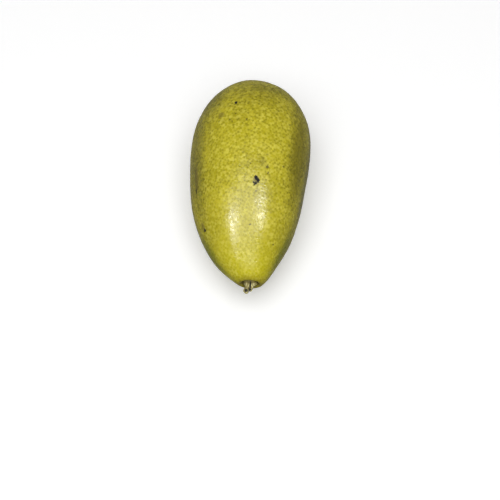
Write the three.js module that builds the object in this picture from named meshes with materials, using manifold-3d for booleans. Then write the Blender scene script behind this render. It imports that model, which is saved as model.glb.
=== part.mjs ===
// A long, tapered lemon lying on its side, with the dried button of its stem.
//
// Frame: millimetres, +Z up. The fruit's long axis runs along Y, with the stem end towards -Y and the
// blossom end towards +Y. The origin is at the middle of the bottom, on the surface the fruit lies on.
import * as THREE from "three";
import { mergeVertices } from "three/addons/utils/BufferGeometryUtils.js";
import Module from "manifold-3d";

const wasm = await Module();
wasm.setup();

// Outline of the fruit, measured from its widest place.
const widestRadius = 26.3;
const stemSide = 63; // widest place to the point that the stem side tapers to
const blossomSide = 35.5; // widest place to the blossom end
const stemTaper = 0.71; // 0.5 would be an ellipse; more is slimmer
const blossomFullness = 2.3; // 2 would be an ellipse; more is blunter

// Low nipple at the blossom end, and the dimple at the stem end that holds the button.
const nippleHeight = 1.3;
const nippleRadius = 6.5;
const dimpleDepth = 4.6;
const dimpleRadius = 3.6;

// Faint flat sides that run along the fruit. Angles are in degrees about Y, from +X towards +Z.
const sideWaves = [
  { sides: 2, share: 0.005, ridge: 20 },
  { sides: 3, share: 0.002, ridge: 75 },
  { sides: 5, share: 0.005, ridge: 44 },
];

// Uneven growth: soft bulges (height over 0) and hollows (under 0), each around one place on the skin.
const swellings = [
  { station: -34.5, angle: 180, height: 1.4, length: 19, breadth: 40 },
  { station: -14.5, angle: 0, height: -1.6, length: 20, breadth: 40 },
  { station: -28, angle: 270, height: 0.7, length: 20, breadth: 45 },
];
const swellingFade = 8; // they die out towards the axis within this radius

// The stem end grows off the axis: its skin lies this far across (X) and up (Z), fading out with radius.
const stemOffset = { across: 2, up: 1.5 };
const stemOffsetFade = 10;

// How the fruit rests.
const restTilt = 3.5; // degrees by which the slimmer stem side dips
const flatDepth = 0.5; // the skin pressed flat where the fruit rests

// Button: a small disc in the dimple that carries the stump of the stalk.
const buttonClearance = 0.35;
const buttonRadius = 3.1;
const buttonThickness = 1;
const stalkRadius = 1.9;
const stalkLength = 3.8; // beyond the rim of the dimple
const stalkLean = 0.2; // millimetres towards -X for each millimetre along the stalk
const stalkSlitWidth = 0.5;
const stalkSlitDepth = 2.6;

// Fineness of the meshes.
const stationsAlong = 46;
const stepsAround = 64;
const stalkStepsAround = 32;

// Distance from the axis at a station along it, where 0 is the widest place.
function outlineRadius(station) {
  if (station < 0) {
    const share = Math.min(-station / stemSide, 1);
    return widestRadius * (1 - share ** 2) ** stemTaper;
  }
  const share = Math.min(station / blossomSide, 1);
  return widestRadius * Math.sqrt(1 - share ** blossomFullness);
}

// How far the dimple and the nipple move the skin along the axis, at a distance from the axis.
const dimpleShift = (radius) => dimpleDepth * Math.exp(-((radius / dimpleRadius) ** 4));
const nippleShift = (radius) => nippleHeight * Math.exp(-((radius / nippleRadius) ** 2));

// Stations closer together towards both ends, where the outline turns fast.
function stationAt(step) {
  const turn = (Math.PI * step) / stationsAlong;
  const middle = (blossomSide - stemSide) / 2;
  return middle - ((stemSide + blossomSide) / 2) * Math.cos(turn);
}

function outlinePoints() {
  const points = [];
  for (let step = 0; step <= stationsAlong; step += 1) {
    const station = stationAt(step);
    const atAnEnd = step === 0 || step === stationsAlong;
    const radius = atAnEnd ? 0 : outlineRadius(station);
    const shift = station < 0 ? dimpleShift(radius) : nippleShift(radius);
    points.push(new THREE.Vector2(radius, station + shift));
  }
  return points;
}

// The radius of the uneven fruit where the even one has this radius.
function unevenRadius(radius, station, angle) {
  let factor = 1;
  for (const wave of sideWaves) {
    factor += wave.share * Math.cos(wave.sides * THREE.MathUtils.degToRad(angle - wave.ridge));
  }
  let swelling = 0;
  for (const place of swellings) {
    const along = (station - place.station) / place.length;
    const around = (THREE.MathUtils.euclideanModulo(angle - place.angle + 180, 360) - 180) / place.breadth;
    swelling += place.height * Math.exp(-(along ** 2) - around ** 2);
  }
  return radius * factor + swelling * Math.min(radius / swellingFade, 1);
}

// How much of the stem end's offset the skin takes at this radius: all of it in and around the dimple.
const offsetShare = (radius) => Math.exp(-((radius / stemOffsetFade) ** 4));

// Moves each point in or out from the Y axis, and the stem end off it.
function makeUneven(geometry) {
  const position = geometry.attributes.position;
  for (let i = 0; i < position.count; i += 1) {
    const radius = Math.hypot(position.getX(i), position.getZ(i));
    const angle = THREE.MathUtils.radToDeg(Math.atan2(position.getZ(i), position.getX(i)));
    const factor = radius > 0 ? unevenRadius(radius, position.getY(i), angle) / radius : 1;
    const offset = position.getY(i) < 0 ? offsetShare(radius) : 0;
    position.setX(i, position.getX(i) * factor + stemOffset.across * offset);
    position.setZ(i, position.getZ(i) * factor + stemOffset.up * offset);
  }
}

function solidFrom(geometry) {
  const plain = geometry.clone();
  plain.deleteAttribute("normal");
  plain.deleteAttribute("uv");
  const merged = mergeVertices(plain, 1e-4);
  return new wasm.Manifold(
    new wasm.Mesh({
      numProp: 3,
      vertProperties: merged.attributes.position.array,
      triVerts: new Uint32Array(merged.index.array),
    }),
  );
}

function geometryFrom(solid) {
  const mesh = solid.getMesh();
  const geometry = new THREE.BufferGeometry();
  geometry.setAttribute("position", new THREE.BufferAttribute(mesh.vertProperties, 3));
  geometry.setIndex(new THREE.BufferAttribute(mesh.triVerts, 1));
  geometry.computeVertexNormals();
  return geometry;
}

// The whole fruit as one solid, tilted as it rests, with its underside cut flat.
function makeFruit() {
  const skin = new THREE.LatheGeometry(outlinePoints(), stepsAround);
  makeUneven(skin);
  skin.rotateX(THREE.MathUtils.degToRad(restTilt));
  skin.computeBoundingBox();
  const cutHeight = skin.boundingBox.min.z + flatDepth;
  const cutSize = 4 * widestRadius;
  const below = new THREE.BoxGeometry(cutSize, cutSize, cutSize);
  below.translate(0, 0, cutHeight - cutSize / 2);
  return geometryFrom(solidFrom(skin).subtract(solidFrom(below)));
}

// Leans everything beyond the disc's face towards -X.
function leanBeyond(face, geometry) {
  const position = geometry.attributes.position;
  for (let i = 0; i < position.count; i += 1) {
    const beyond = Math.max(face - position.getY(i), 0);
    position.setX(i, position.getX(i) - stalkLean * beyond);
  }
}

// Disc and leaning stump as one solid in the offset dimple, with the slit that splits the stump.
function makeStemButton() {
  const floor = -stemSide + dimpleDepth - buttonClearance;
  const face = floor - buttonThickness;
  const rim = Math.min(...outlinePoints().map((point) => point.y));
  const tip = rim - stalkLength;
  const outline = [
    new THREE.Vector2(0, tip),
    new THREE.Vector2(stalkRadius * 0.8, tip),
    new THREE.Vector2(stalkRadius, tip + 0.4),
    new THREE.Vector2(stalkRadius, face - 0.6),
    new THREE.Vector2(stalkRadius + 0.5, face),
    new THREE.Vector2(buttonRadius - 0.3, face + 0.1),
    new THREE.Vector2(buttonRadius, face + 0.4),
    new THREE.Vector2(buttonRadius - 0.1, floor - 0.6),
    new THREE.Vector2(buttonRadius - 0.8, floor),
    new THREE.Vector2(0, floor),
  ];
  const body = new THREE.LatheGeometry(outline, stalkStepsAround);
  const slit = new THREE.BoxGeometry(stalkSlitWidth, 2 * stalkSlitDepth, 4 * stalkRadius);
  slit.translate(0, tip, 0);
  leanBeyond(face, body);
  leanBeyond(face, slit);
  const button = geometryFrom(solidFrom(body).subtract(solidFrom(slit)));
  button.translate(stemOffset.across, 0, stemOffset.up);
  button.rotateX(THREE.MathUtils.degToRad(restTilt));
  return button;
}

const peel = new THREE.MeshStandardMaterial({ color: 0xb4a93a, roughness: 0.45, metalness: 0 });
const driedStem = new THREE.MeshStandardMaterial({ color: 0xa89f6c, roughness: 0.85, metalness: 0 });

const fruit = new THREE.Mesh(makeFruit(), peel);
fruit.name = "fruit";
const stemButton = new THREE.Mesh(makeStemButton(), driedStem);
stemButton.name = "stem_button";

const lemon = new THREE.Group();
lemon.name = "lemon";
lemon.add(fruit, stemButton);

// Stands the lemon on the origin: middle of its box in X and Y, underside at Z = 0.
const box = new THREE.Box3().setFromObject(lemon);
const middle = box.getCenter(new THREE.Vector3());
for (const piece of lemon.children) {
  piece.geometry.translate(-middle.x, -middle.y, -box.min.z);
}

export default lemon;
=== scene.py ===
"""A long, tapered lemon on a pale floor: its peel with oil glands and marks, and its dried stem button.

Shapes are worked out in millimetres in the fruit's own frame, with +Y from the stem end to the blossom
end, and then tilted and placed as the CAD model rests. Angles run about Y, from +X towards +Z.
"""

import math

import bpy
import numpy as np
from mathutils import Matrix, Vector, noise
from mathutils.geometry import delaunay_2d_cdt


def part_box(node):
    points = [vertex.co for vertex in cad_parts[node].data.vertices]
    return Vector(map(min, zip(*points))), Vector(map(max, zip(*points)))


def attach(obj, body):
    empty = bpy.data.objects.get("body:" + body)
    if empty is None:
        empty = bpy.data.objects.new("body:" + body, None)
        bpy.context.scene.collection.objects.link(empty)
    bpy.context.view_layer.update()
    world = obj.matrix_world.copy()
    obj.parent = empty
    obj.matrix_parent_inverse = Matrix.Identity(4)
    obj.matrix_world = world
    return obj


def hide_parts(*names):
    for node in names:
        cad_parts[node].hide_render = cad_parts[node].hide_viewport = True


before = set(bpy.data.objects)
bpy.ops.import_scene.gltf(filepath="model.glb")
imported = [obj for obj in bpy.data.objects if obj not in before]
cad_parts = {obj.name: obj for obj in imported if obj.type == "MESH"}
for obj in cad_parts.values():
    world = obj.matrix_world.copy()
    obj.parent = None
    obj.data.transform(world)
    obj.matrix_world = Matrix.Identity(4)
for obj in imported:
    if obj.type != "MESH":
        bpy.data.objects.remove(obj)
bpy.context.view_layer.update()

MM = 0.001
SEED = 7

# Outline of the fruit, measured from its widest place.
WIDEST_RADIUS = 26.3
STEM_SIDE = 63.0
BLOSSOM_SIDE = 35.5
STEM_TAPER = 0.71
BLOSSOM_FULLNESS = 2.3
NIPPLE_HEIGHT, NIPPLE_RADIUS = 1.3, 6.5
DIMPLE_DEPTH, DIMPLE_RADIUS = 4.6, 3.6

# Faint flat sides: (sides, share of the radius, angle of a ridge).
SIDE_WAVES = [(2, 0.005, 20), (3, 0.002, 75), (5, 0.005, 44)]

# Uneven growth: (station, angle, height, length along, breadth around in degrees).
SWELLINGS = [(-34.5, 180, 1.4, 19, 40), (-14.5, 0, -1.6, 20, 40), (-28, 270, 0.7, 20, 45)]
SWELLING_FADE = 8.0

# The stem end grows off the axis: its skin lies this far across and up, fading out with radius.
STEM_OFFSET = (2.0, 1.5)
STEM_OFFSET_FADE = 10.0

REST_TILT = math.radians(3.5)
FLAT_DEPTH = 0.5

# Oil glands.
GLAND_SPACING = 1.42
GLAND_JITTER = 0.21
PIT_DEPTH = 0.038
PIT_RADIUS = 0.5
PIT_VARIETY = 0.35  # how much the pits differ in depth
CLOSING_RING = 1.1  # radius of the ring of points that closes the blossom end

# Low lumps in the peel: (height, size, place in the noise).
LUMPS = [(0.16, 13.0, 3.1), (0.045, 3.6, 9.7)]

# The skin around the button lies nearer the stem end than this station.
STEM_REGION = -50
FAR_AWAY = 99.0  # stands for the distance from the stem everywhere else

# Black marks on the skin: (station, angle, radius, stretch along the fruit).
DARK_MARKS = [
    (-21.3, 83.5, 0.74, 1.3), (-22.5, 80.8, 0.78, 1.2), (-23.6, 82.6, 0.55, 1),  # the main blemish
    (-23.6, 86, 0.42, 1), (-24.6, 84.5, 0.36, 1), (13.9, 107, 0.78, 1), (-38.9, 157, 0.75, 1),
    (-21.6, 156, 0.34, 5),
    (-30, 232, 0.7, 1.6), (-6, 318, 0.6, 1), (16, 205, 0.5, 1), (-12, 262, 0.45, 1), (4, 352, 0.5, 1),
]
# Fainter, olive brown ones, in the same way.
FAINT_MARKS = [
    (-26.9, 82, 0.36, 1), (-16.2, 73, 0.6, 1.3), (-18.6, 72, 0.42, 1), (-15.5, 90, 0.38, 1),
    (14.7, 127, 0.44, 1), (8.0, 106, 0.38, 1), (4.7, 95, 0.38, 1.6), (5.3, 111, 0.44, 1),
    (4.2, 109, 0.38, 1), (5.5, 122, 0.36, 1), (20.5, 53, 0.5, 1),
    (-19.1, 141, 0.42, 1), (-40.1, 86, 0.36, 1), (-45.7, 46, 0.34, 1), (-14.3, 57, 0.38, 1),
    (-9.1, 49, 0.36, 1),
]
# Brown scars on the skin, in the same way.
SCARS = [
    (8.4, 121, 1.5, 1), (-17, 154, 1.7, 3.6), (-22.4, 82.5, 1.5, 1.2), (-37.5, 158, 1.3, 2),
    (-30, 233, 1.6, 2.2), (10, 300, 1.8, 1), (-24, 345, 1.2, 3), (24, 190, 1.6, 1),
]
# Number of small faint marks on the sides and the back.
FRECKLES = 70

# Soft patches of another tone, the olive and grey ones also with painted shade: (station, angle, length
# along, breadth around in degrees, strength).
GREEN_PATCHES = [
    (-48, 172, 9, 18, 0.9), (-46, 12, 9, 17, 0.9), (-38, 268, 18, 30, 0.8), (2, 300, 16, 24, 0.7),
    (-22, 318, 12, 20, 0.5), (10, 225, 12, 24, 0.5),
]
# Olive patches: partly the peel's own olive tone, partly painted shade where the sides turn away from the
# light. The first, a dark band down the right side, is mostly painted shade.
OLIVE_AND_SHADE_PATCHES = [
    (-6, 37, 24, 15, 1.0), (20, 134, 6, 32, 0.45), (10, 34, 10, 16, 0.42), (-14.5, 79, 3.4, 6, 0.45),
    (18, 88, 10, 46, 0.5), (8, 96, 8, 26, 0.36), (12, 62, 8, 14, 0.38),
    (8, 245, 10, 20, 0.7), (-20, 215, 14, 16, 0.6),
]
# Grey patches: partly the peel's duller tone, partly painted shade along the rims and over the top.
GREY_AND_SHADE_PATCHES = [
    (-8, 153, 26, 13, 1.0), (17, 140, 11, 24, 0.7), (-10, 8, 26, 14, 0.9), (24, 75, 5, 50, 0.6),
]

# Dried button and the stump of the stalk, around the middle of the dimple.
BUTTON_CLEARANCE = 0.35
BUTTON_RADIUS = 3.1
BUTTON_THICKNESS = 1.0
BUTTON_LOBES = 5
LOBE_WAVE = 0.055  # how far the lobes stand out, as a share of the radius
STALK_LENGTH = 3.8  # beyond the rim of the dimple
# The two strands that the stalk has split into: (x, z, radius) at even steps from the disc to the tip.
LEFT_STRAND = [
    (-1.3, 0.1, 1.3), (-1.15, 0.3, 1.22), (-1.1, 0.2, 1.0), (-1.4, 0.0, 1.1), (-1.6, -0.1, 1.24),
]
RIGHT_STRAND = [
    (1.45, 0.3, 1.3), (1.4, 0.5, 1.22), (1.0, 0.3, 0.9), (0.5, 0.0, 0.72), (0.25, -0.1, 0.76),
]
STRAND_SINK = 0.3  # the strands start this far inside the disc
STRAND_RINGS = 14
STRAND_WAVE, STRAND_TWIST = 0.05, 0.3  # ridges along the strands, and how much they turn at each ring
LEFT_END, RIGHT_END = 0.75, 1.2  # how far each strand ends short of the tip
BREAK_SLOPE = 0.7  # the broken ends slant, with their mouths turned up
HOLLOW_SHARE = 0.55  # radius of the hollow in a broken end, of the strand's
HOLLOW_DEPTH = 1.3
FIBRE_RELIEF, WRINKLE_RELIEF, FRAY = 0.07, 0.06, 0.12
FRAYED_LENGTH = 1.2
VOXEL = 0.09

# Camera. Azimuth 0 looks from -Y.
CAMERA_DISTANCE = 0.600
CAMERA_ELEVATION = math.radians(60)
CAMERA_AZIMUTH = math.radians(2.6)
LENS = 100.0
SENSOR = 36.0
AIM_BELOW = 0.0297  # the fruit sits in the upper half of the picture
AIM_RIGHT = 0.0003

# Lights: (name, azimuth, elevation, distance, (width, height), watts, only for gloss).
LIGHTS = [
    ("front_box", -3, 70, 1.1, (0.9, 0.9), 11.2, False),
    ("left_strip", -52, 48, 0.9, (0.045, 0.28), 6.4, True),
    ("right_strip", 54, 58, 0.9, (0.04, 0.24), 4.4, True),
]
SKY_LIGHT = 0.2
BACKDROP = 0.93  # how bright the sky looks to the camera
FLOOR_SIZE = 6.0
FLOOR_GAP = 0.0001  # keeps the floor apart from the flat spot


# ---------------------------------------------------------------- the fruit's form

def outline_radius(station):
    """Distance from the axis at a station along it, where 0 is the widest place."""
    stem_share = np.clip(-station / STEM_SIDE, 0, 1)
    blossom_share = np.clip(station / BLOSSOM_SIDE, 0, 1)
    stem = WIDEST_RADIUS * (1 - stem_share**2) ** STEM_TAPER
    blossom = WIDEST_RADIUS * np.sqrt(1 - blossom_share**BLOSSOM_FULLNESS)
    return np.where(station < 0, stem, blossom)


def station_at(turn):
    """Stations for turns from 0, the stem end, to pi, the blossom end."""
    return (BLOSSOM_SIDE - STEM_SIDE) / 2 - (STEM_SIDE + BLOSSOM_SIDE) / 2 * np.cos(turn)


def turn_at(station):
    """The turn whose station this is."""
    return math.acos(((BLOSSOM_SIDE - STEM_SIDE) / 2 - station) / ((STEM_SIDE + BLOSSOM_SIDE) / 2))


def end_shift(station, radius):
    """How far the dimple and the nipple move the skin along the axis."""
    dimple = DIMPLE_DEPTH * np.exp(-((radius / DIMPLE_RADIUS) ** 4))
    nipple = NIPPLE_HEIGHT * np.exp(-((radius / NIPPLE_RADIUS) ** 2))
    return np.where(station < 0, dimple, nipple)


def angle_between(angle, other):
    return (angle - other + 180) % 360 - 180


def uneven_radius(radius, station, angle):
    factor = 1.0
    for sides, share, ridge in SIDE_WAVES:
        factor = factor + share * np.cos(np.radians(sides * (angle - ridge)))
    swelling = 0.0
    for place, towards, height, length, breadth in SWELLINGS:
        along = (station - place) / length
        around = angle_between(angle, towards) / breadth
        swelling = swelling + height * np.exp(-(along**2) - around**2)
    return radius * factor + swelling * np.minimum(radius / SWELLING_FADE, 1)


def skin_points(turn, angle):
    """Points of the smooth skin for turns along and angles in degrees around."""
    station = station_at(turn)
    even = outline_radius(station)
    along = station + end_shift(station, even)
    radius = uneven_radius(even, along, angle)
    around = np.radians(angle)
    offset = np.where(along < 0, np.exp(-((even / STEM_OFFSET_FADE) ** 4)), 0)
    across = radius * np.cos(around) + STEM_OFFSET[0] * offset
    up = radius * np.sin(around) + STEM_OFFSET[1] * offset
    return np.column_stack([across, along, up])


def meridian():
    """A fine table along the even outline, from the stem end to the blossom end.

    It holds the turn, the radius, the place along the axis, the distance along the skin, the area of
    skin so far, and the distance as it is on a map of the skin that keeps angles.
    """
    turn = np.linspace(1e-4, math.pi - 1e-4, 8001)
    station = station_at(turn)
    radius = outline_radius(station)
    along = station + end_shift(station, radius)
    step = np.hypot(np.diff(radius), np.diff(along))
    middle = (radius[1:] + radius[:-1]) / 2
    return {
        "turn": turn,
        "radius": radius,
        "along": along,
        "distance": np.append(0, np.cumsum(step)),
        "area": np.append(0, np.cumsum(2 * math.pi * middle * step)),
        "spread": np.append(0, np.cumsum(step / middle)),
    }


def scatter_glands():
    """Gland centres, evenly scattered over the skin with a little disorder, as turns and angles."""
    random = np.random.default_rng(SEED)
    table = meridian()
    turn, radius, area = table["turn"], table["radius"], table["area"]
    count = int(area[-1] / (GLAND_SPACING**2 * math.sqrt(3) / 2))
    order = np.arange(count)
    golden_angle = math.pi * (3 - math.sqrt(5))
    turns = np.interp((order + 0.5) / count * area[-1], area, turn)
    angles = order * golden_angle
    shift = random.normal(0, GLAND_JITTER * GLAND_SPACING, (count, 2))
    radii = np.interp(turns, turn, radius)
    turn_per_mm = np.interp(turns, turn[1:], np.diff(turn) / np.diff(table["distance"]))
    turns = turns + np.clip(shift[:, 0], -GLAND_SPACING, GLAND_SPACING) * turn_per_mm
    angles = angles + shift[:, 1] / np.maximum(radii, GLAND_SPACING)
    radii = np.interp(turns, turn, radius)
    kept = (turns > turn[0]) & ((turns < math.pi / 2) | (radii > 2 * CLOSING_RING))
    return turns[kept], np.degrees(angles[kept]) % 360


def triangulate(turns, angles):
    """Joins scattered points into even triangles, and closes both ends with a point of their own."""
    table = meridian()
    turn, radius, spread = table["turn"], table["radius"], table["spread"]
    ring_turn = np.interp(-CLOSING_RING, -radius[turn > math.pi / 2], turn[turn > math.pi / 2])
    ring_angles = np.arange(6) * 60.0
    turns = np.concatenate([[0.0], turns, np.full(6, ring_turn)])
    angles = np.concatenate([[0.0], angles, ring_angles])
    distance = np.exp(np.interp(turns, turn, spread) - spread[-1] / 2)
    distance[0] = 0
    flat = [Vector((d * math.cos(a), d * math.sin(a))) for d, a in zip(distance, np.radians(angles))]
    triangles = np.array(delaunay_2d_cdt(flat, [], [], 0, 1e-12)[2])
    turns = np.append(turns, math.pi)
    angles = np.append(angles, 0.0)
    tip = len(turns) - 1
    ring = np.arange(tip - 6, tip)
    cap = np.column_stack([ring, np.full(6, tip), np.roll(ring, -1)])
    return turns, angles, np.vstack([triangles, cap])


def ball_points(turn, angle):
    around = np.radians(angle)
    return np.column_stack([np.sin(turn) * np.cos(around), -np.cos(turn), np.sin(turn) * np.sin(around)])


def split_in_nine(turns, angles, triangles):
    """Splits each triangle in nine. Gives turns, angles, faces and each point's three gland shares."""
    ball = ball_points(turns, angles)
    count = len(ball)
    sides = np.vstack([triangles[:, [0, 1]], triangles[:, [1, 2]], triangles[:, [2, 0]]])
    low_first = np.sort(sides, axis=1)
    edges, edge_of = np.unique(low_first, axis=0, return_inverse=True)
    edge_of = edge_of.reshape(3, -1).T
    forward = (sides[:, 0] < sides[:, 1]).reshape(3, -1).T
    a, b = ball[edges[:, 0]], ball[edges[:, 1]]
    near_low, near_high = (2 * a + b) / 3, (a + 2 * b) / 3
    centre = ball[triangles].mean(axis=1)
    points = np.vstack([ball, near_low, near_high, centre])
    low_id, high_id = count + edge_of, count + len(edges) + edge_of
    first = np.where(forward, low_id, high_id)  # the third of each side nearer its start
    second = np.where(forward, high_id, low_id)
    middle = count + 2 * len(edges) + np.arange(len(triangles))
    p, q, r = triangles.T
    faces = np.vstack([
        np.column_stack([p, first[:, 0], second[:, 2]]),
        np.column_stack([first[:, 0], middle, second[:, 2]]),
        np.column_stack([first[:, 0], second[:, 0], middle]),
        np.column_stack([second[:, 0], first[:, 1], middle]),
        np.column_stack([second[:, 0], q, first[:, 1]]),
        np.column_stack([second[:, 2], middle, first[:, 2]]),
        np.column_stack([middle, second[:, 1], first[:, 2]]),
        np.column_stack([middle, first[:, 1], second[:, 1]]),
        np.column_stack([first[:, 2], second[:, 1], r]),
    ])
    points /= np.linalg.norm(points, axis=1)[:, None]
    turn = np.arccos(np.clip(-points[:, 1], -1, 1))
    angle = np.degrees(np.arctan2(points[:, 2], points[:, 0])) % 360
    parents = np.vstack([
        np.repeat(np.arange(count)[:, None], 3, axis=1),
        np.column_stack([edges[:, 0], edges[:, 0], edges[:, 1]]),
        np.column_stack([edges[:, 1], edges[:, 1], edges[:, 0]]),
        triangles,
    ])
    return turn, angle, faces, parents


def normals_of(points, faces):
    a, b, c = (points[faces[:, i]] for i in range(3))
    across = np.cross(b - a, c - a)
    normal = np.zeros_like(points)
    for corner in range(3):
        np.add.at(normal, faces[:, corner], across)
    return normal / np.maximum(np.linalg.norm(normal, axis=1), 1e-12)[:, None]


def noise_at(points, size, shift=0.0):
    """Smooth noise from about -1 to 1 whose lumps are about this size, for an array of points."""
    offset = Vector((shift, -shift, 2 * shift))
    return np.array([noise.noise(Vector(p) / size + offset) for p in points])


def smooth_step(low, high, value):
    share = np.clip((value - low) / (high - low), 0, 1)
    return share * share * (3 - 2 * share)


def mark_field(points, spots):
    """How deep inside the nearest mark each point is, in millimetres; below 0 outside."""
    field = np.full(len(points), -4.0)
    for station, angle, size, stretch in spots:
        centre = skin_points(np.array([turn_at(station)]), np.array([float(angle)]))[0]
        centre = points[np.argmin(((points - centre) ** 2).sum(axis=1))]
        offset = points - centre
        offset[:, 1] /= stretch
        field = np.maximum(field, size - np.linalg.norm(offset, axis=1))
    return field


def patch_field(along, angle, patches):
    """How strongly each point lies in any of these soft patches, 0 to 1."""
    field = np.zeros(len(along))
    for station, towards, length, breadth, strength in patches:
        share = ((along - station) / length) ** 2 + (angle_between(angle, towards) / breadth) ** 2
        field = np.maximum(field, strength * np.exp(-share))
    return field


def freckles():
    """Small marks scattered over the sides and the back, in the same form as the named ones."""
    random = np.random.default_rng(SEED + 2)
    stations = random.uniform(-50, 30, FRECKLES)
    angles = random.uniform(170, 370, FRECKLES) % 360
    sizes = random.uniform(0.02, 0.3, FRECKLES)
    return [(station, angle, size, 1.0) for station, angle, size in zip(stations, angles, sizes)]


def rest_matrix(skin):
    """Tilts the fruit as it rests and puts it where the CAD fruit lies."""
    tilt = Matrix.Rotation(REST_TILT, 4, "X")
    low, high = (Vector(corner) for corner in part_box("fruit"))
    turned = skin @ np.array(tilt.to_3x3()).T * MM
    lowest, highest = turned.min(axis=0), turned.max(axis=0)
    place = Vector((
        (low.x + high.x - lowest[0] - highest[0]) / 2,
        (low.y + high.y - lowest[1] - highest[1]) / 2,
        low.z - lowest[2] - FLAT_DEPTH * MM,
    ))
    return Matrix.Translation(place) @ tilt @ Matrix.Scale(MM, 4)


def placed(points, matrix):
    turned = points @ np.array(matrix.to_3x3()).T
    return turned + np.array(matrix.translation)


def mesh_object(name, points, faces):
    mesh = bpy.data.meshes.new(name)
    mesh.from_pydata(points.tolist(), [], faces.tolist())
    mesh.polygons.foreach_set("use_smooth", np.ones(len(mesh.polygons), dtype=bool))
    mesh.update()
    piece = bpy.data.objects.new(name, mesh)
    bpy.context.collection.objects.link(piece)
    return piece


def set_attribute(piece, name, values):
    attribute = piece.data.attributes.new(name, "FLOAT", "POINT")
    attribute.data.foreach_set("value", np.asarray(values, dtype=np.float32))


def add_bake_map(piece, turn, angle, faces):
    """Unrolls the skin like a label: angle across, distance along the meridian upwards."""
    table = meridian()
    height = np.interp(turn, table["turn"], table["distance"] / table["distance"][-1])
    seam = 270  # along the underside
    at_tip = np.isclose(np.sin(turn), 0, atol=1e-6)
    across = np.radians(angle[faces])
    share = (~at_tip[faces]).astype(float)
    middle = np.degrees(np.arctan2((np.sin(across) * share).sum(1), (np.cos(across) * share).sum(1)))
    from_middle = angle_between(angle[faces], middle[:, None]) * share
    turned = ((middle - seam) % 360)[:, None] + from_middle
    margin = 0.01
    uv = margin + (1 - 2 * margin) * np.stack([turned / 360, height[faces]], axis=2)
    layer = piece.data.uv_layers.new(name="OFBake")
    layer.uv.foreach_set("vector", uv.astype(np.float32).ravel())


def peel_relief(smooth, to_gland, pit_strength):
    """How far the skin stands out at each point: gland pits and low lumps, both calmer near the stem."""
    along = smooth[:, 1]
    calm = 0.35 + 0.65 * smooth_step(-46, -22, along)
    pits = -PIT_DEPTH * pit_strength * calm * np.exp(-((to_gland / PIT_RADIUS) ** 2))
    lumps = sum(height * noise_at(smooth, size, shift) for height, size, shift in LUMPS)
    lumps *= 0.4 + 0.6 * smooth_step(-60, STEM_REGION, along)
    return pits + lumps


def store_peel_values(piece, smooth, angle, to_gland, gland_tone):
    """Stores on the mesh's points what the peel's material goes by."""
    along = smooth[:, 1]
    set_attribute(piece, "to_gland", to_gland)
    set_attribute(piece, "gland_tone", gland_tone)
    set_attribute(piece, "station", along)
    set_attribute(piece, "dark_mark", mark_field(smooth, DARK_MARKS))
    set_attribute(piece, "faint_mark", mark_field(smooth, FAINT_MARKS + freckles()))
    set_attribute(piece, "scar", mark_field(smooth, SCARS))
    set_attribute(piece, "green", patch_field(along, angle, GREEN_PATCHES))
    # The olive and grey fields hold peel tone and painted shade at the sides and rims.
    set_attribute(piece, "olive_and_shade", patch_field(along, angle, OLIVE_AND_SHADE_PATCHES))
    set_attribute(piece, "grey_and_shade", patch_field(along, angle, GREY_AND_SHADE_PATCHES))
    from_stem = np.hypot(smooth[:, 0] - STEM_OFFSET[0], smooth[:, 2] - STEM_OFFSET[1])
    set_attribute(piece, "from_stem", np.where(along < STEM_REGION, from_stem, FAR_AWAY))


def make_fruit():
    """The whole fruit as one mesh, and the matrix that puts the fruit's own frame where it rests."""
    turns, angles = scatter_glands()
    turns, angles, triangles = triangulate(turns, angles)
    turn, angle, faces, parents = split_in_nine(turns, angles, triangles)
    smooth = skin_points(turn, angle)
    normal = normals_of(smooth, faces)
    if (normal * smooth).sum() < 0:
        faces = faces[:, ::-1]
        normal = -normal
    random = np.random.default_rng(SEED + 1)
    glands = skin_points(turns, angles)
    to_gland = np.min([np.linalg.norm(smooth - glands[parents[:, i]], axis=1) for i in range(3)], axis=0)
    strength = np.clip(random.normal(1.0, PIT_VARIETY, len(turns)), 0.2, 1.8)
    tone = random.random(len(turns))
    relief = peel_relief(smooth, to_gland, strength[parents].mean(axis=1))
    to_world = rest_matrix(smooth)
    final = placed(smooth + normal * relief[:, None], to_world)
    resting_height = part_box("fruit")[0][2]
    final[:, 2] = np.maximum(final[:, 2], resting_height)
    piece = mesh_object("lemon_peel", final, faces)
    store_peel_values(piece, smooth, angle, to_gland, tone[parents].mean(axis=1))
    add_bake_map(piece, turn, angle, faces)
    return piece, to_world


# ---------------------------------------------------------------- the dried button

def closed_tube(rings, centres):
    """A closed mesh from rings of points and the two middle points that cap it."""
    count = len(rings[0])
    points = [tuple(centres[0])]
    faces = []
    for ring in rings:
        points.extend(tuple(point) for point in ring)
    points.append(tuple(centres[1]))
    last = len(points) - 1
    for step in range(count):
        after = (step + 1) % count
        faces.append((0, 1 + after, 1 + step))
        for row in range(len(rings) - 1):
            start = 1 + row * count
            faces.append((start + step, start + after, start + count + after, start + count + step))
        faces.append((last, last - count + step, last - count + after))
    return points, faces


def ring_at(x, y, z, radius, phase=0.0, lobes=0, wave=0.0, count=40):
    around = np.arange(count) / count * 2 * math.pi
    own = radius * (1 + wave * np.cos(lobes * around + phase))
    return np.column_stack([x + own * np.cos(around), np.full(count, y), z + own * np.sin(around)])


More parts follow.
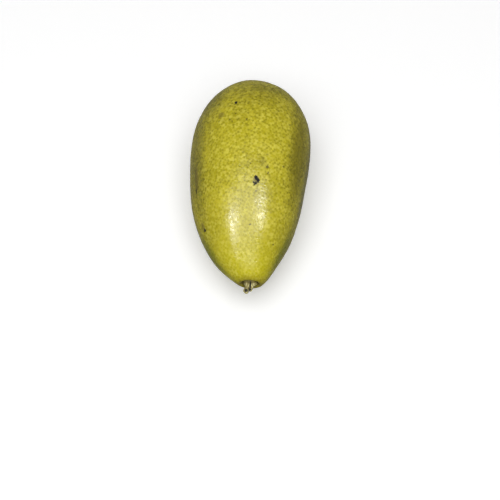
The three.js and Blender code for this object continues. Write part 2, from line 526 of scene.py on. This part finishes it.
def strand(path, start, tip):
    """One strand of the stalk, from the disc to its broken, hollow end."""
    ys = np.linspace(start, tip, len(path))
    fine = np.linspace(start, tip, STRAND_RINGS)
    x, z, radius = (np.interp(-fine, -ys, [point[i] for point in path]) for i in range(3))
    rings = []
    for i, y in enumerate(fine):
        rings.append(ring_at(x[i], y, z[i], radius[i], phase=i * STRAND_TWIST, lobes=3, wave=STRAND_WAVE))
    inner = radius[-1] * HOLLOW_SHARE
    rings.append(ring_at(x[-1], tip - 0.12, z[-1], (radius[-1] + inner) / 2))
    rings.append(ring_at(x[-1], tip + 0.1, z[-1], inner))
    for ring in rings[-3:]:
        ring[:, 1] += BREAK_SLOPE * (ring[:, 2] - z[-1])
    rings.append(ring_at(x[-1], tip + HOLLOW_DEPTH, z[-1], inner * 0.7))
    centres = ((x[0], start, z[0]), (x[-1], tip + HOLLOW_DEPTH, z[-1]))
    return closed_tube(rings, centres)


def disc(floor, face):
    """The calyx: a thick, five-lobed disc that sits in the dimple."""
    radius = BUTTON_RADIUS / (1 + LOBE_WAVE)
    outline = [
        (0.75, floor), (0.95, floor - 0.3), (1.0, face + 0.35), (0.93, face + 0.05), (0.7, face - 0.05),
    ]
    rings = []
    for share, y in outline:
        rings.append(ring_at(0, y, 0, radius * share, phase=0.7, lobes=BUTTON_LOBES, wave=LOBE_WAVE))
    return closed_tube(rings, ((0, floor, 0), (0, face - 0.1, 0)))


def joined_by_voxels(name, parts):
    """Joins closed meshes into one skin on an even grid of voxels."""
    points = []
    faces = []
    for part_points, part_faces in parts:
        start = len(points)
        points.extend(part_points)
        faces.extend(tuple(start + index for index in face) for face in part_faces)
    mesh = bpy.data.meshes.new(name)
    mesh.from_pydata(points, [], faces)
    mesh.update()
    piece = bpy.data.objects.new(name, mesh)
    bpy.context.collection.objects.link(piece)
    remesh = piece.modifiers.new("voxels", "REMESH")
    remesh.mode = "VOXEL"
    remesh.voxel_size = VOXEL
    bpy.context.view_layer.update()
    evaluated = piece.evaluated_get(bpy.context.evaluated_depsgraph_get())
    result = bpy.data.meshes.new_from_object(evaluated)
    piece.modifiers.clear()
    piece.data = result
    return piece


def point_values(mesh, name):
    """The places or the normals of a mesh's points, one row for each."""
    values = np.empty(len(mesh.vertices) * 3)
    mesh.vertices.foreach_get(name, values)
    return values.reshape(-1, 3)


def painted_shade_in_hollows(points, face, tip):
    """Where painted shade goes: 1 in the hollow ends of the strands and in the slit between them, 0
    elsewhere.
    """
    hollow = np.zeros(len(points))
    for path, end in ((LEFT_STRAND, tip + LEFT_END), (RIGHT_STRAND, tip + RIGHT_END)):
        x, z, size = path[-1]
        from_middle = np.hypot(points[:, 0] - x, points[:, 2] - z)
        inside = 1 - smooth_step(0.75, 1.2, from_middle / (size * HOLLOW_SHARE))
        hollow = np.maximum(hollow, inside * (points[:, 1] < end + HOLLOW_DEPTH + 0.3))
    height = face + STRAND_SINK - points[:, 1]
    steps = np.linspace(0, face + STRAND_SINK - tip, len(LEFT_STRAND))
    left = np.interp(height, steps, [x + size for x, _, size in LEFT_STRAND])
    right = np.interp(height, steps, [x - size for x, _, size in RIGHT_STRAND])
    from_slit = np.abs(points[:, 0] - (left + right) / 2)
    slit = 1 - smooth_step(0.15, 0.45, from_slit)
    slit *= points[:, 1] < face + 0.1
    return np.maximum(hollow, slit)


def make_stem(to_world):
    """The dried button and its split stalk, wrinkled along their fibres, in the dimple."""
    floor = -STEM_SIDE + DIMPLE_DEPTH - BUTTON_CLEARANCE
    face = floor - BUTTON_THICKNESS
    tip = meridian()["along"].min() - STALK_LENGTH
    parts = [
        disc(floor, face),
        strand(LEFT_STRAND, face + STRAND_SINK, tip + LEFT_END),
        strand(RIGHT_STRAND, face + STRAND_SINK, tip + RIGHT_END),
    ]
    piece = joined_by_voxels("dried_button", parts)
    mesh = piece.data
    points = point_values(mesh, "co")
    normals = point_values(mesh, "normal")
    beyond = np.clip(face - points[:, 1], 0, None)
    fibre = noise_at(points * (1, 0.18, 1), 0.42, 5.0)
    wrinkle = noise_at(points, 0.9, 8.0)
    on_stalk = smooth_step(0.0, 0.6, beyond)
    relief = (FIBRE_RELIEF * fibre - 0.02) * (0.4 + 0.6 * on_stalk) + WRINKLE_RELIEF * wrinkle
    at_end = points[:, 1] < tip + FRAYED_LENGTH
    shaped = points + normals * relief[:, None]
    shaped[:, 1] += np.where(at_end, FRAY * noise_at(points * (1, 0.1, 1), 0.5, 2.0), 0)
    shaped[:, 0] += STEM_OFFSET[0]
    shaped[:, 2] += STEM_OFFSET[1]
    mesh.vertices.foreach_set("co", placed(shaped, to_world).ravel())
    mesh.polygons.foreach_set("use_smooth", np.ones(len(mesh.polygons), dtype=bool))
    mesh.update()
    # The hollow attribute marks painted shade in the broken ends and in the slit.
    set_attribute(piece, "hollow", painted_shade_in_hollows(points, face, tip))
    set_attribute(piece, "beyond", beyond)
    set_attribute(piece, "fibre", fibre)
    return piece


# ---------------------------------------------------------------- materials

class Nodes:
    """Short ways to add and join the nodes of one material."""

    def __init__(self, name):
        self.material = bpy.data.materials.new(name)
        self.material.use_nodes = True
        self.tree = self.material.node_tree
        self.shader = self.tree.nodes["Principled BSDF"]

    def add(self, kind, **settings):
        node = self.tree.nodes.new(kind)
        for name, value in settings.items():
            setattr(node, name, value)
        return node

    def join(self, source, socket):
        if isinstance(source, bpy.types.NodeSocket):
            self.tree.links.new(source, socket)
        else:
            socket.default_value = source

    def attribute(self, name):
        return self.add("ShaderNodeAttribute", attribute_name=name).outputs["Fac"]

    def math(self, operation, *values):
        node = self.add("ShaderNodeMath", operation=operation)
        for value, socket in zip(values, node.inputs):
            self.join(value, socket)
        return node.outputs[0]

    def noise(self, size_mm, detail=2.0, roughness=0.5):
        node = self.add("ShaderNodeTexNoise")
        self.join(self.add("ShaderNodeTexCoord").outputs["Object"], node.inputs["Vector"])
        node.inputs["Scale"].default_value = 1 / (size_mm * MM)
        node.inputs["Detail"].default_value = detail
        node.inputs["Roughness"].default_value = roughness
        return node.outputs["Fac"]

    def ramp(self, value, low, high, start=0.0, end=1.0):
        node = self.add("ShaderNodeMapRange", interpolation_type="SMOOTHSTEP")
        self.join(value, node.inputs["Value"])
        for name, number in (("From Min", low), ("From Max", high), ("To Min", start), ("To Max", end)):
            self.join(number, node.inputs[name])
        return node.outputs["Result"]

    def blend(self, share, colour, other):
        node = self.add("ShaderNodeMix", data_type="RGBA")
        self.join(share, node.inputs["Factor"])
        self.join(colour if not isinstance(colour, tuple) else (*colour, 1), node.inputs[6])
        self.join(other if not isinstance(other, tuple) else (*other, 1), node.inputs[7])
        return node.outputs[2]

    def bump(self, height, distance_mm, strength=1.0, under=None):
        node = self.add("ShaderNodeBump")
        node.inputs["Strength"].default_value = strength
        node.inputs["Distance"].default_value = distance_mm * MM
        self.join(height, node.inputs["Height"])
        if under is not None:
            self.join(under, node.inputs["Normal"])
        return node.outputs["Normal"]


def srgb(red, green, blue):
    """A colour given as 0 to 255 screen values, as the linear values that nodes use."""
    def linear(value):
        share = value / 255
        return share / 12.92 if share <= 0.04045 else ((share + 0.055) / 1.055) ** 2.4
    return tuple(linear(value) for value in (red, green, blue))


def peel_ground(n, station, to_gland):
    """Uneven yellow, more saturated towards the stem end, with a paler network between the glands."""
    colour = n.blend(n.ramp(n.noise(14, 3), 0.36, 0.66), srgb(203, 191, 42), srgb(186, 175, 26))
    near_stem = n.ramp(station, -42, -54)
    colour = n.blend(n.math("MULTIPLY", near_stem, 0.7), colour, srgb(206, 196, 24))
    uneven = n.ramp(n.noise(3.4, 3), 0.34, 0.64, 0.16, 0.6)
    network = n.math("MULTIPLY", n.ramp(to_gland, 0.3, 0.8), uneven)
    return n.blend(network, colour, srgb(232, 222, 92))


def with_patches(n, colour, grey_and_shade, olive_and_shade, green):
    """Adds the patches of grey, olive and green, with broken edges, and green flecks in the grey. The
    grey and olive patches are partly the peel's own tone and partly painted shade at the sides and rims.
    """
    broken = n.math("MULTIPLY_ADD", n.noise(2.6, 4, 0.65), 0.9, -0.45)
    for field, patch_colour, amount in (
        # grey: peel tone and painted shade at the rims
        (grey_and_shade, srgb(150, 140, 50), 0.66),
        # olive: peel tone and painted shade at the sides
        (olive_and_shade, srgb(128, 117, 20), 0.76),
        (green, srgb(122, 130, 10), 0.66),
    ):
        share = n.ramp(n.math("ADD", field, broken), 0.1, 0.85, 0.0, amount)
        colour = n.blend(share, colour, patch_colour)
    in_grey = n.ramp(grey_and_shade, 0.25, 0.7, 0.0, 0.55)
    flecks = n.math("MULTIPLY", n.ramp(n.noise(1.1, 1), 0.6, 0.68), in_grey)
    return n.blend(flecks, colour, srgb(104, 130, 34))


def with_gland_dots(n, colour, station, to_gland, patches):
    """Adds a darker dot at each gland, plainest in the patches and faint near the stem end."""
    tone = n.ramp(n.attribute("gland_tone"), 0.2, 0.95, 0.1, 0.5)
    plain = n.math("MULTIPLY_ADD", patches, 1.6, n.ramp(station, -50, -22, 0.35, 1.0))
    dot = n.math("MULTIPLY", n.ramp(to_gland, 0.86, 0.16), n.math("MULTIPLY", tone, plain))
    return n.blend(n.math("MINIMUM", dot, 0.85), colour, srgb(122, 114, 14))


def with_marks(n, colour):
    """Adds the brown around the button, darker inside the dimple partly as painted shade of the hollow,
    scars and marks. Also gives where the black marks are.
    """
    frayed = n.math("MULTIPLY_ADD", n.noise(1.6, 3), 2.4, -1.2)
    from_stem = n.math("ADD", n.attribute("from_stem"), frayed)
    colour = n.blend(n.ramp(from_stem, 7.5, 4.2, 0.0, 0.7), colour, srgb(140, 126, 26))
    # Darker brown inside the dimple: partly the peel's own tone, partly painted shade in the recess.
    colour = n.blend(n.ramp(from_stem, 4.4, 3.2, 0.0, 0.85), colour, srgb(104, 90, 26))
    ragged = n.math("MULTIPLY_ADD", n.noise(0.7, 3, 0.7), 1.7, -0.85)
    scar = n.ramp(n.math("ADD", n.attribute("scar"), ragged), -0.5, 0.6, 0.0, 0.6)
    colour = n.blend(scar, colour, srgb(112, 98, 40))
    faint = n.ramp(n.math("ADD", n.attribute("faint_mark"), ragged), -0.2, 0.2, 0.0, 0.8)
    colour = n.blend(faint, colour, srgb(84, 76, 18))
    black = n.ramp(n.math("ADD", n.attribute("dark_mark"), ragged), -0.12, 0.14)
    return n.blend(black, colour, srgb(10, 8, 0)), black


def peel_material():
    n = Nodes("peel")
    station = n.attribute("station")
    # grey and olive carry peel tone and painted shade at the sides and rims
    grey_and_shade, olive_and_shade, green = (n.attribute(name) for name in ("grey_and_shade", "olive_and_shade", "green"))
    uneven = n.math("MULTIPLY_ADD", n.noise(0.8, 2), 0.36, -0.18)
    to_gland = n.math("ADD", n.attribute("to_gland"), uneven)
    colour = peel_ground(n, station, to_gland)
    colour = with_patches(n, colour, grey_and_shade, olive_and_shade, green)
    colour = with_gland_dots(n, colour, station, to_gland, n.math("MAXIMUM", grey_and_shade, olive_and_shade))
    colour, black = with_marks(n, colour)
    n.join(colour, n.shader.inputs["Base Color"])
    rough = n.ramp(n.noise(1.8, 3), 0.32, 0.68, 0.2, 0.38)
    n.join(n.math("MAXIMUM", rough, n.math("MULTIPLY", black, 0.85)), n.shader.inputs["Roughness"])
    fine = n.bump(n.noise(0.6, 2, 0.6), 0.05, 0.5)
    n.join(n.bump(n.noise(1.2, 2), 0.16, 0.5, fine), n.shader.inputs["Normal"])
    n.shader.inputs["IOR"].default_value = 1.39
    n.shader.inputs["Subsurface Weight"].default_value = 0.1
    n.shader.inputs["Subsurface Radius"].default_value = (1.0, 0.8, 0.25)
    n.shader.inputs["Subsurface Scale"].default_value = 1.5 * MM
    return n.material


def stem_material():
    n = Nodes("dried_stem")
    colour = n.blend(n.ramp(n.attribute("fibre"), -0.35, 0.3), srgb(132, 118, 54), srgb(208, 200, 138))
    colour = n.blend(n.ramp(n.noise(0.5, 4, 0.65), 0.5, 0.72, 0.0, 0.6), colour, srgb(116, 98, 46))
    disc_share = n.math("ADD", n.attribute("beyond"), n.math("MULTIPLY_ADD", n.noise(0.8, 2), 0.6, -0.3))
    colour = n.blend(n.ramp(disc_share, 0.45, 0.05, 0.0, 0.85), colour, srgb(126, 112, 44))
    # Painted shade: near black in the hollow ends of the strands and in the slit between them.
    colour = n.blend(n.ramp(n.attribute("hollow"), 0.2, 0.8, 0.0, 0.95), colour, srgb(26, 20, 10))
    n.join(colour, n.shader.inputs["Base Color"])
    n.shader.inputs["Roughness"].default_value = 0.82
    n.join(n.bump(n.noise(0.22, 3, 0.6), 0.04, 0.6), n.shader.inputs["Normal"])
    return n.material


# ---------------------------------------------------------------- stage

def make_floor():
    """A pale floor. The real fruit lay on dark fruit, so this one throws no light of its own up at it."""
    half = FLOOR_SIZE / 2
    corners = half * np.array([(-1, -1, 0), (1, -1, 0), (1, 1, 0), (-1, 1, 0)], dtype=float)
    corners[:, 2] = -FLOOR_GAP
    floor = mesh_object("floor", corners, np.array([(0, 1, 2, 3)]))
    n = Nodes("floor")
    n.shader.inputs["Base Color"].default_value = (0.93, 0.93, 0.93, 1)
    n.shader.inputs["Roughness"].default_value = 0.9
    n.shader.inputs["Emission Color"].default_value = (1, 1, 1, 1)
    n.shader.inputs["Emission Strength"].default_value = 0.2
    floor.data.materials.append(n.material)
    floor.visible_diffuse = False
    floor.visible_glossy = False


def direction(azimuth, elevation):
    """Unit vector towards a place seen at this azimuth, where 0 is -Y, and elevation, in radians."""
    flat = math.cos(elevation)
    return Vector((flat * math.sin(azimuth), -flat * math.cos(azimuth), math.sin(elevation)))


def aim(thing, target):
    thing.rotation_euler = (target - thing.location).to_track_quat("-Z", "Y").to_euler()


def make_camera(centre):
    camera = bpy.data.objects.new("camera", bpy.data.cameras.new("camera"))
    bpy.context.collection.objects.link(camera)
    camera.data.lens = LENS
    camera.data.sensor_width = SENSOR
    camera.location = centre + direction(CAMERA_AZIMUTH, CAMERA_ELEVATION) * CAMERA_DISTANCE
    aim(camera, centre)
    turn = camera.rotation_euler.to_matrix()
    aim(camera, centre + turn @ Vector((AIM_RIGHT, -AIM_BELOW, 0)))
    bpy.context.scene.camera = camera


def add_area_light(centre, name, azimuth, elevation, distance, size, power, gloss_only):
    light = bpy.data.lights.new(name, "AREA")
    light.shape = "RECTANGLE"
    light.size, light.size_y = size
    light.energy = power
    lamp = bpy.data.objects.new(name, light)
    bpy.context.collection.objects.link(lamp)
    lamp.location = centre + direction(math.radians(azimuth), math.radians(elevation)) * distance
    aim(lamp, centre)
    lamp.visible_diffuse = not gloss_only


def make_lights(centre):
    for settings in LIGHTS:
        add_area_light(centre, *settings)
    world = bpy.data.worlds.new("studio")
    bpy.context.scene.world = world
    world.use_nodes = True
    background = world.node_tree.nodes["Background"]
    background.inputs["Color"].default_value = (1, 1, 1, 1)
    seen = world.node_tree.nodes.new("ShaderNodeLightPath").outputs["Is Camera Ray"]
    strength = world.node_tree.nodes.new("ShaderNodeMapRange")
    strength.inputs["To Min"].default_value = SKY_LIGHT
    strength.inputs["To Max"].default_value = BACKDROP
    world.node_tree.links.new(seen, strength.inputs["Value"])
    world.node_tree.links.new(strength.outputs["Result"], background.inputs["Strength"])
    bpy.context.scene.view_settings.view_transform = "Standard"


def main():
    low, high = (Vector(corner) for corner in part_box("fruit"))
    centre = (low + high) / 2
    make_camera(centre)
    make_lights(centre)
    make_floor()
    fruit, to_world = make_fruit()
    fruit.data.materials.append(peel_material())
    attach(fruit, "root")
    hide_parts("fruit")
    stem = make_stem(to_world)
    stem.data.materials.append(stem_material())
    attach(stem, "root")
    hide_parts("stem_button")
    bpy.context.view_layer.update()


main()
